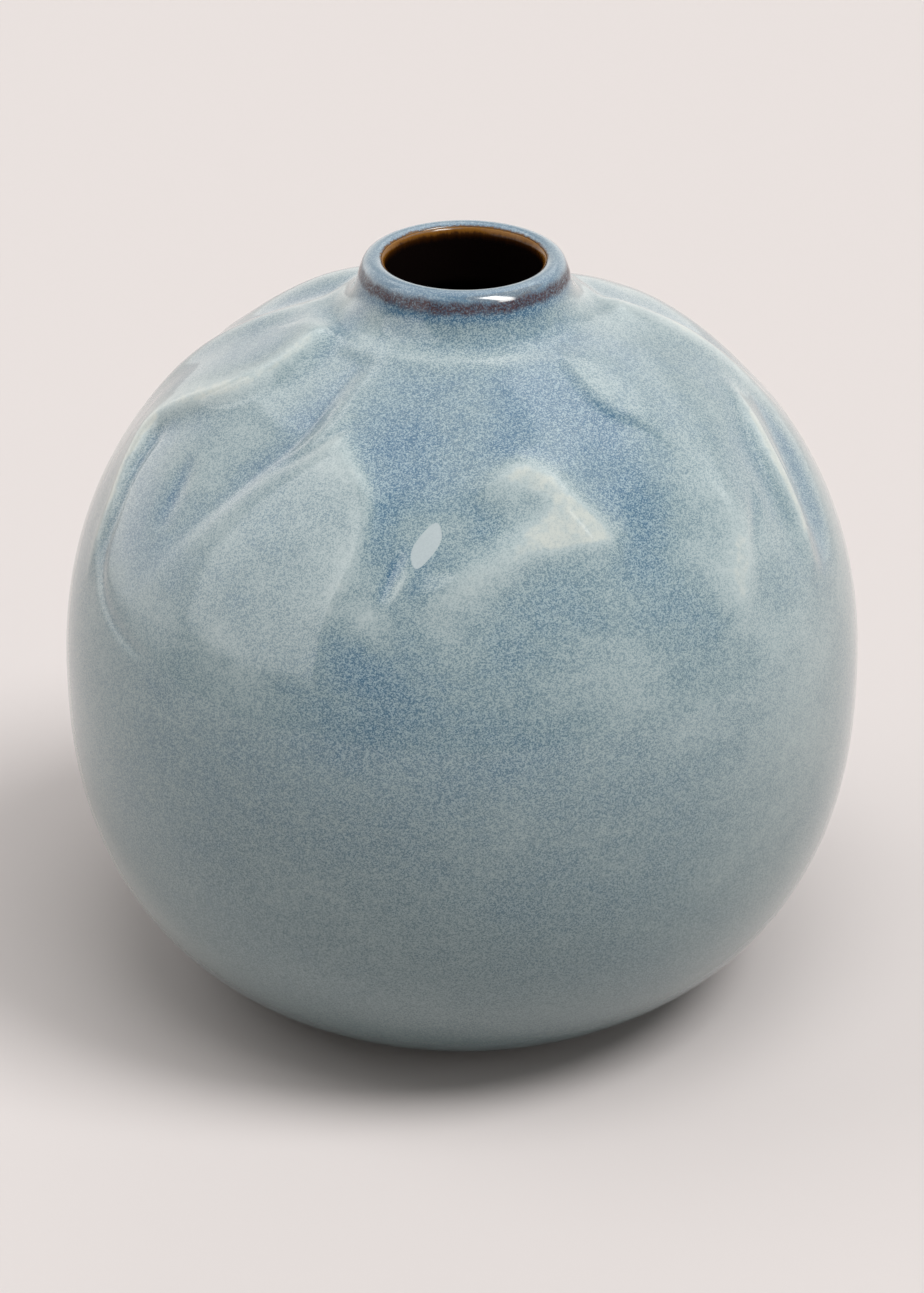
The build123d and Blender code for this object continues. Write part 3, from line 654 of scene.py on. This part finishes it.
class Nodes:
    """Short calls to build a node tree."""

    def __init__(self, owner):
        owner.use_nodes = True
        self.tree = owner.node_tree
        self.tree.nodes.clear()

    def add(self, kind, inputs=None, **settings):
        node = self.tree.nodes.new(kind)
        for key, value in settings.items():
            setattr(node, key, value)
        for key, value in (inputs or {}).items():
            self.set(node.inputs[key], value)
        return node

    def set(self, socket, value):
        """Join a socket to another's output, or give it a value."""
        if isinstance(value, bpy.types.NodeSocket):
            self.tree.links.new(value, socket)
        else:
            socket.default_value = value

    def math(self, operation, a, b=0.0, c=0.0, clamp=False):
        node = self.add("ShaderNodeMath", {0: a, 1: b, 2: c}, operation=operation, use_clamp=clamp)
        return node.outputs[0]

    def swing(self, value, amount):
        """A 0..1 value as a swing of half the amount to either side of 0."""
        return self.math("MULTIPLY_ADD", value, amount, -amount / 2.0)

    def span(self, value, low, high, start=0.0, end=1.0):
        """Map a value from low..high to start..end along an S-curve, and hold it there."""
        node = self.add("ShaderNodeMapRange", {0: value, 1: low, 2: high, 3: start, 4: end},
                        interpolation_type="SMOOTHSTEP")
        return node.outputs[0]

    def noise(self, where, scale, detail=2.0, roughness=0.5, distortion=0.0):
        inputs = {"Vector": where, "Scale": scale, "Detail": detail, "Roughness": roughness,
                  "Distortion": distortion}
        return self.add("ShaderNodeTexNoise", inputs).outputs["Fac"]

    def grains(self, where, scale):
        """A random value for each small cell."""
        node = self.add("ShaderNodeTexVoronoi", {"Vector": where, "Scale": scale})
        return self.add("ShaderNodeSeparateColor", {0: node.outputs["Color"]}).outputs[0]

    def dot(self, first, second):
        node = self.add("ShaderNodeVectorMath", {0: first, 1: tuple(second)}, operation="DOT_PRODUCT")
        return node.outputs["Value"]

    def stretched(self, where, scale):
        return self.add("ShaderNodeMapping", {"Vector": where, "Scale": scale}).outputs[0]

    def mix(self, share, first, second):
        node = self.add("ShaderNodeMix", data_type="RGBA")
        for index, value in ((0, share), (6, first), (7, second)):
            self.set(node.inputs[index], value)
        return node.outputs[2]

    def ramp(self, value, stops):
        node = self.add("ShaderNodeValToRGB", {0: value})
        band = node.color_ramp
        while len(band.elements) < len(stops):
            band.elements.new(0.5)
        for element, (place, colour) in zip(band.elements, stops):
            element.position = place
            element.color = (*colour, 1.0)
        return node.outputs[0]

    def bump(self, height, strength, distance):
        inputs = {"Height": height, "Strength": strength, "Distance": distance}
        return self.add("ShaderNodeBump", inputs).outputs[0]


def value_of(nodes, name):
    """A mesh value as a socket."""
    return nodes.add("ShaderNodeAttribute", attribute_name=name).outputs["Fac"]


def finish_surface(nodes, colour, roughness, bump, ior):
    """The shader and the output."""
    shader = nodes.add("ShaderNodeBsdfPrincipled", {"Base Color": colour, "Roughness": roughness,
                                                    "IOR": ior, "Normal": bump})
    nodes.add("ShaderNodeOutputMaterial", {"Surface": shader.outputs[0]})
    return shader


def lip_browns(nodes, where, lip, glaze):
    """The colour round the lip, where the glaze breaks brown outside and amber to black inside.

    The second socket says how far a place is turned brown or amber.
    """
    ragged = nodes.noise(nodes.stretched(where, (1.0, 1.0, 0.4)), BREAK_EDGE, 3.0, 0.6)
    place = nodes.math("ADD", lip, nodes.swing(ragged, BREAK_RAGGED))
    band = nodes.math("MULTIPLY", nodes.span(place, *BREAK_BEGINS), nodes.span(place, *BREAK_ENDS))
    patches = nodes.span(nodes.noise(where, BREAK_PATCHES, 2.0), 0.30, 0.50, 0.75, 1.0)
    dots = nodes.span(nodes.noise(where, BREAK_DOTS, 2.0, 0.6), 0.40, 0.66, 1.0, 0.5)
    band = nodes.math("MULTIPLY", nodes.math("MULTIPLY", band, patches), dots, clamp=True)
    brown = nodes.mix(nodes.noise(where, BREAK_MOTTLE, 2.0), BREAK_DARK, BREAK_LIGHT)
    outside = nodes.mix(band, glaze, brown)
    streak = nodes.noise(nodes.stretched(where, (1.0, 1.0, 0.10)), AMBER_STREAKS, 3.0, 0.7)
    inner = nodes.math("ADD", lip, nodes.swing(streak, AMBER_RAGGED))
    amber = nodes.ramp(nodes.span(inner, *AMBER_TO_BLACK), AMBER_STOPS)
    inside = nodes.span(inner, *INSIDE_BEGINS)
    return nodes.mix(inside, outside, amber), nodes.math("MAXIMUM", band, inside)


def painted_glint(nodes, where):
    """How far inside the painted highlight, a pale spot painted on the front, a place is."""
    reach, height = ball_place(PAINTED_GLINT_LATITUDE, 0.0)
    outward = direction(PAINTED_GLINT_AZIMUTH, 0.0)
    middle = outward * reach * MM + Vector((0.0, 0.0, height * MM))
    slope = math.radians(PAINTED_GLINT_LATITUDE)
    upward = Vector((0.0, 0.0, math.cos(slope))) - outward * math.sin(slope)
    across = Vector((0.0, 0.0, 1.0)).cross(outward)
    lean = math.radians(PAINTED_GLINT_LEAN)
    along = upward * math.cos(lean) + across * math.sin(lean)
    beside = across * math.cos(lean) - upward * math.sin(lean)
    offset = nodes.add("ShaderNodeVectorMath", {0: where, 1: tuple(middle)}, operation="SUBTRACT").outputs[0]
    up = nodes.math("MULTIPLY", nodes.dot(offset, along), 1.0 / (PAINTED_GLINT_HALF_LENGTH * MM))
    side = nodes.math("MULTIPLY", nodes.dot(offset, beside), 1.0 / (PAINTED_GLINT_HALF_WIDTH * MM))
    up = nodes.math("MULTIPLY_ADD", side, PAINTED_GLINT_SHEAR, up)
    powers = [nodes.math("POWER", nodes.math("ABSOLUTE", part), PAINTED_GLINT_SQUARENESS) for part in (up, side)]
    front = nodes.span(nodes.dot(where, outward), 0.0, 0.01)  # so that the back has none
    return nodes.math("MULTIPLY", nodes.span(nodes.math("ADD", *powers), *PAINTED_GLINT_EDGE), front)


def flatten_glint(nodes, shader, lip):
    """Give the lip its flat, glassy spot: a coat that mirrors strongly."""
    normal = nodes.add("ShaderNodeTexCoord").outputs["Normal"]
    facing = (direction(0.0, CAMERA_ELEVATION) + direction(*KEY_PANEL)).normalized()
    on_lip = nodes.math("MULTIPLY", nodes.span(lip, *GLINT_BEGINS), nodes.span(lip, *GLINT_ENDS))
    spot = nodes.math("MULTIPLY", nodes.span(nodes.dot(normal, facing), *GLINT_FACING), on_lip)
    kept = (1.0 - GLINT_FLATNESS,) * 3
    flat = nodes.add("ShaderNodeVectorMath", {0: normal, 1: kept, 2: facing * GLINT_FLATNESS},
                     operation="MULTIPLY_ADD").outputs[0]
    flat = nodes.add("ShaderNodeVectorMath", {0: flat}, operation="NORMALIZE").outputs[0]
    nodes.set(shader.inputs["Coat Roughness"], GLINT_ROUGHNESS)
    nodes.set(shader.inputs["Coat IOR"], GLINT_IOR)
    nodes.set(shader.inputs["Coat Normal"], flat)
    nodes.set(shader.inputs["Coat Weight"], spot)


def pool_depth(nodes, where, lip):
    """How thick the glaze lies: 0 where it is thin and pale, 1 where it pools deep blue."""
    # tones that are painted highlights come out as thin, pale glaze here
    pool = nodes.math("MULTIPLY_ADD", value_of(nodes, "tone"), POOL_PER_TONE, POOL_MIDDLE)
    broad = nodes.noise(nodes.stretched(where, (1.0, 1.0, 0.7)), BROAD_CLOUDS, 2.0, 0.5, 0.4)
    cloud = nodes.noise(nodes.stretched(where, (1.0, 1.0, 1.7)), CLOUDS, 4.0, 0.62, 0.4)
    mottle = nodes.noise(where, MOTTLE, 2.0, 0.6)
    for grain, amount in ((broad, BROAD_SWING), (cloud, CLOUD_SWING), (mottle, MOTTLE_SWING)):
        pool = nodes.math("ADD", pool, nodes.swing(grain, amount))
    return nodes.math("ADD", pool, nodes.span(lip, *NECK_THICKENS, 0.0, NECK_POOL), clamp=True)


def fine_specks(nodes, where, pool):
    """Specks of blue as small as sand, which crowd together where the glaze pools."""
    cells = nodes.grains(where, SPECK_CELLS)
    clumps = nodes.noise(where, SPECK_CLUMPS, 1.0, 0.6)
    excess = (CLUMP_SHARE + CELL_SHARE - 1.0) / 2.0  # taken off to keep the middle at a half
    grain = nodes.math("MULTIPLY_ADD", cells, CELL_SHARE, -excess)
    grain = nodes.math("MULTIPLY_ADD", clumps, CLUMP_SHARE, grain)
    return nodes.span(nodes.math("ADD", grain, nodes.swing(pool, SPECK_CROWDING)), *SPECK_RANGE)


def paint_low_shade(nodes, glaze, specks, height):
    """Painted shade: the glaze is darkened low down, and most of all at the foot, where the ball faces away
    from the lamps.
    """
    low = nodes.span(height, *LOW_SHADE_HEIGHTS, 0.0, LOW_SHADE_SHARE)
    glaze = nodes.mix(low, glaze, nodes.mix(specks, LOW_SHADE_PALE, LOW_SHADE_DEEP))
    return nodes.mix(nodes.span(height, *FOOT_SHADE_HEIGHTS, 0.0, FOOT_SHADE_SHARE), glaze, FOOT_SHADE_BLUE)


def painted_rim_sheen(nodes, glaze, height):
    """Painted sheen: seen at a slant the glaze is painted paler, in place of the reflection at its rims, but
    hardly so next to the foot.
    """
    slant = nodes.add("ShaderNodeLayerWeight", {"Blend": 0.5}).outputs["Facing"]
    most = nodes.span(height, *RIM_SHEEN_HEIGHTS, *RIM_SHEEN_SHARES)
    share = nodes.math("MULTIPLY", nodes.math("POWER", slant, RIM_SHEEN_POWER), most)
    return nodes.mix(share, glaze, RIM_SHEEN_COLOUR)


def blue_glaze():
    """Pale grey-green glaze full of fine blue specks, brown where the lip thins it, with painted shade low
    down, a painted rim sheen and a painted highlight.
    """
    material = bpy.data.materials.new("blue_reactive_glaze")
    nodes = Nodes(material)
    where = nodes.add("ShaderNodeTexCoord").outputs["Object"]
    height = nodes.add("ShaderNodeSeparateXYZ", {0: where}).outputs["Z"]
    lip = value_of(nodes, "lip")
    pool = pool_depth(nodes, where, lip)
    specks = fine_specks(nodes, where, pool)
    glaze = nodes.mix(specks, nodes.ramp(pool, PALE_STOPS), nodes.ramp(pool, BLUE_STOPS))
    glaze = nodes.mix(nodes.span(lip, *LIP_TURNS_BLUE, 0.0, LIP_BLUE_SHARE), glaze, LIP_BLUE)
    # painted shade, darker downwards and most at the foot
    glaze = paint_low_shade(nodes, glaze, specks, height)
    # painted sheen at the slanted rims
    glaze = painted_rim_sheen(nodes, glaze, height)
    # painted highlight: a pale spot on the front, painted in place of a softbox's reflection
    glaze = nodes.mix(nodes.math("MULTIPLY", painted_glint(nodes, where), PAINTED_GLINT_COVER), glaze, PAINTED_GLINT_COLOUR)
    colour, browned = lip_browns(nodes, where, lip, glaze)
    roughness = nodes.span(nodes.noise(where, GLOSS_CLOUDS, 3.0), *NOISE_RANGE, *GLAZE_ROUGHNESS)
    ripple = nodes.noise(where, GLAZE_RIPPLE, 2.0, 0.45)
    pits = nodes.span(nodes.noise(where, GLAZE_PITS, 1.0), *PIT_RANGE)
    relief = nodes.bump(nodes.math("MULTIPLY_ADD", pits, PIT_DEPTH, ripple), *GLAZE_BUMP)
    shader = finish_surface(nodes, colour, roughness, relief, GLAZE_IOR)
    flatten_glint(nodes, shader, lip)
    specular = nodes.math("MULTIPLY_ADD", browned, -BREAK_SPECULAR_LOSS, GLAZE_SPECULAR)
    nodes.set(shader.inputs["Specular IOR Level"], specular)
    return material


def brown_glaze():
    """The liner: amber at the lip's inner edge, then a glossy brown that is nearly black."""
    material = bpy.data.materials.new("brown_liner_glaze")
    nodes = Nodes(material)
    where = nodes.add("ShaderNodeTexCoord").outputs["Object"]
    lip = value_of(nodes, "lip")
    colour = lip_browns(nodes, where, lip, (*LINER_BLACK, 1.0))[0]
    roughness = nodes.span(nodes.noise(where, LINER_CLOUDS, 3.0), *NOISE_RANGE, *LINER_ROUGHNESS)
    relief = nodes.bump(nodes.noise(where, LINER_RIPPLE, 2.0), *LINER_BUMP)
    shader = finish_surface(nodes, colour, roughness, relief, GLAZE_IOR)
    flatten_glint(nodes, shader, lip)
    nodes.set(shader.inputs["Specular IOR Level"], LINER_SPECULAR)
    return material


def bare_clay():
    """Unglazed buff stoneware: sandy, matte, with turning lines and small dark iron specks."""
    material = bpy.data.materials.new("bare_stoneware")
    nodes = Nodes(material)
    where = nodes.add("ShaderNodeTexCoord").outputs["Object"]
    sand = nodes.noise(where, CLAY_SAND, 4.0, 0.7)
    cloud = nodes.noise(where, CLAY_CLOUDS, 3.0, 0.6)
    blotch = nodes.math("MULTIPLY_ADD", cloud, 0.7, nodes.math("MULTIPLY", sand, 0.3))
    specks = nodes.span(nodes.noise(where, CLAY_SPECKS, 1.0), *IRON_RANGE, IRON_SHARE, 0.0)
    colour = nodes.mix(specks, nodes.ramp(blotch, CLAY_STOPS), CLAY_IRON)
    flat = nodes.add("ShaderNodeVectorMath", {0: where, 1: (1.0, 1.0, 0.0)}, operation="MULTIPLY").outputs[0]
    reach = nodes.add("ShaderNodeVectorMath", {0: flat}, operation="LENGTH").outputs["Value"]
    lines = nodes.math("SINE", nodes.math("MULTIPLY", reach, TURNING_LINES))
    relief = nodes.math("MULTIPLY_ADD", lines, LINE_DEPTH, nodes.math("MULTIPLY", sand, SAND_DEPTH))
    roughness = nodes.span(sand, *NOISE_RANGE, *CLAY_ROUGHNESS)
    finish_surface(nodes, colour, roughness, nodes.bump(relief, *CLAY_BUMP), CLAY_IOR)
    return material


def paint(piece, material, node):
    """Give a piece its material and hide the CAD node that it stands for."""
    piece.data.materials.append(material)
    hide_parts(node)


def direction(azimuth, elevation):
    """The unit step towards a place in the studio, with azimuth from the front towards +X."""
    az, el = math.radians(azimuth), math.radians(elevation)
    return Vector((math.sin(az) * math.cos(el), -math.cos(az) * math.cos(el), math.sin(el)))


def make_floor():
    """A wide pale floor that isn't part of the object."""
    mesh = bpy.data.meshes.new("studio_floor")
    side, front, rear = FLOOR_REACH
    corners = [(-side, -front, 0.0), (side, -front, 0.0), (side, rear, 0.0), (-side, rear, 0.0)]
    mesh.from_pydata(corners, [], [(0, 1, 2, 3)])
    floor = bpy.data.objects.new("studio_floor", mesh)
    bpy.context.scene.collection.objects.link(floor)
    material = bpy.data.materials.new("studio_floor_paint")
    nodes = Nodes(material)
    shader = nodes.add("ShaderNodeBsdfDiffuse", {"Color": FLOOR_COLOUR})
    nodes.add("ShaderNodeOutputMaterial", {"Surface": shader.outputs[0]})
    mesh.materials.append(material)


def make_lamps():
    """Soft lamps that light the colours. The glaze mirrors the panels instead."""
    for name, (azimuth, elevation, spread, strength) in LAMPS.items():
        lamp = bpy.data.lights.new(name, "SUN")
        lamp.energy = strength
        lamp.angle = math.radians(spread)
        light = bpy.data.objects.new(name, lamp)
        light.rotation_mode = "QUATERNION"
        light.rotation_quaternion = direction(azimuth, elevation).to_track_quat("Z", "Y")
        light.visible_glossy = False
        bpy.context.scene.collection.objects.link(light)


def panel_light(nodes, toward, panel):
    """A panel's brightness in one direction: its strength inside it and 0 outside."""
    azimuth, elevation, half_width, half_height, strength, upright_edge, level_edge = panel
    middle = direction(azimuth, elevation)
    right = Vector((0.0, 0.0, 1.0)).cross(middle).normalized()
    up = middle.cross(right)
    ahead = nodes.math("MAXIMUM", nodes.dot(toward, middle), 0.001)
    light = strength
    for axis, half, soft in ((right, half_width, upright_edge), (up, half_height, level_edge)):
        offset = nodes.math("ABSOLUTE", nodes.math("DIVIDE", nodes.dot(toward, axis), ahead))
        limit = math.tan(math.radians(half))
        light = nodes.math("MULTIPLY", nodes.span(offset, limit + soft, limit - soft), light)
    return light


def make_studio():
    """A dim room. Only the gloss of the glaze shows the glow at its back and the panels in it."""
    world = bpy.data.worlds.new("studio")
    bpy.context.scene.world = world
    nodes = Nodes(world)
    toward = nodes.add("ShaderNodeTexCoord").outputs["Generated"]
    path = nodes.add("ShaderNodeLightPath").outputs
    parts = nodes.add("ShaderNodeSeparateXYZ", {0: toward}).outputs
    rear = nodes.math("MULTIPLY", nodes.span(parts["Y"], *GLOW_BEGINS), nodes.span(parts["Z"], *GLOW_ENDS))
    mirrored = nodes.math("MULTIPLY", rear, REAR_GLOW)
    for panel in PANELS:
        mirrored = nodes.math("ADD", mirrored, panel_light(nodes, toward, panel))
    strength = nodes.math("MULTIPLY_ADD", mirrored, path["Is Glossy Ray"], ROOM_LIGHT)
    room_light = nodes.add("ShaderNodeBackground", {"Color": ROOM_COLOUR, "Strength": strength})
    backdrop = nodes.add("ShaderNodeBackground", {"Color": BACKDROP_COLOUR})
    seen = nodes.add("ShaderNodeMixShader", {0: path["Is Camera Ray"], 1: room_light.outputs[0],
                                             2: backdrop.outputs[0]})
    nodes.add("ShaderNodeOutputWorld", {"Surface": seen.outputs[0]})


def make_camera():
    """The view from the front and above."""
    camera = bpy.data.cameras.new("camera")
    camera.sensor_width = SENSOR_WIDTH
    camera.lens = LENS
    holder = bpy.data.objects.new("camera", camera)
    holder.location = Vector(CAMERA_TARGET) + direction(0.0, CAMERA_ELEVATION) * CAMERA_DISTANCE
    aim = Vector(CAMERA_TARGET) + Vector(CAMERA_LIFT) - holder.location
    holder.rotation_mode = "QUATERNION"
    holder.rotation_quaternion = aim.to_track_quat("-Z", "Y")
    bpy.context.scene.collection.objects.link(holder)
    bpy.context.scene.camera = holder


def main():
    make_camera()
    make_lamps()
    make_studio()
    make_floor()
    paint(make_outer_glaze(), blue_glaze(), "outer_glaze")
    paint(make_liner_glaze(), brown_glaze(), "liner_glaze")
    paint(make_stoneware(), bare_clay(), "stoneware_body")
    bpy.context.scene.view_settings.view_transform = "Standard"


main()
